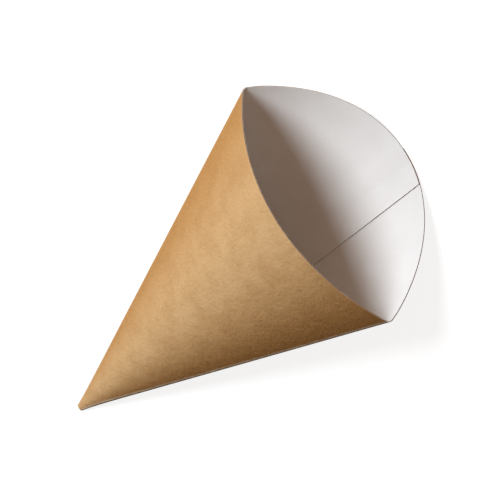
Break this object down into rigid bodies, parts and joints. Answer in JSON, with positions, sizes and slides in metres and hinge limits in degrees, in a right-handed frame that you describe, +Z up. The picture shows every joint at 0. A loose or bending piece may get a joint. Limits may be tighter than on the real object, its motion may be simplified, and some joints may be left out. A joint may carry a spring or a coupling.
{
  "type": "cone paper cup",
  "caption": "Paperboard cone cup, creased down both sides, glued with a lap at the back and popped open, with a low front rim and a taller rounded tongue behind it.",
  "frame": {"origin": "on the surface that the cone lies on, half way between the tongue's end and the cut tip, and midway between its sides", "axes": "+Z up, away from the surface under the cone's back; +Y from the mouth towards the tip, along the middle line of the back; +X across, from the side crease of the outer flap to the side crease of the inner flap"},
  "size_m": [0.1106, 0.1974, 0.0475],
  "materials": {
    "paperboard": "matt kraft outside, matt white inside"
  },
  "bodies": {
    "root": {"folded_cone": "paperboard"}
  },
  "joints": []
}
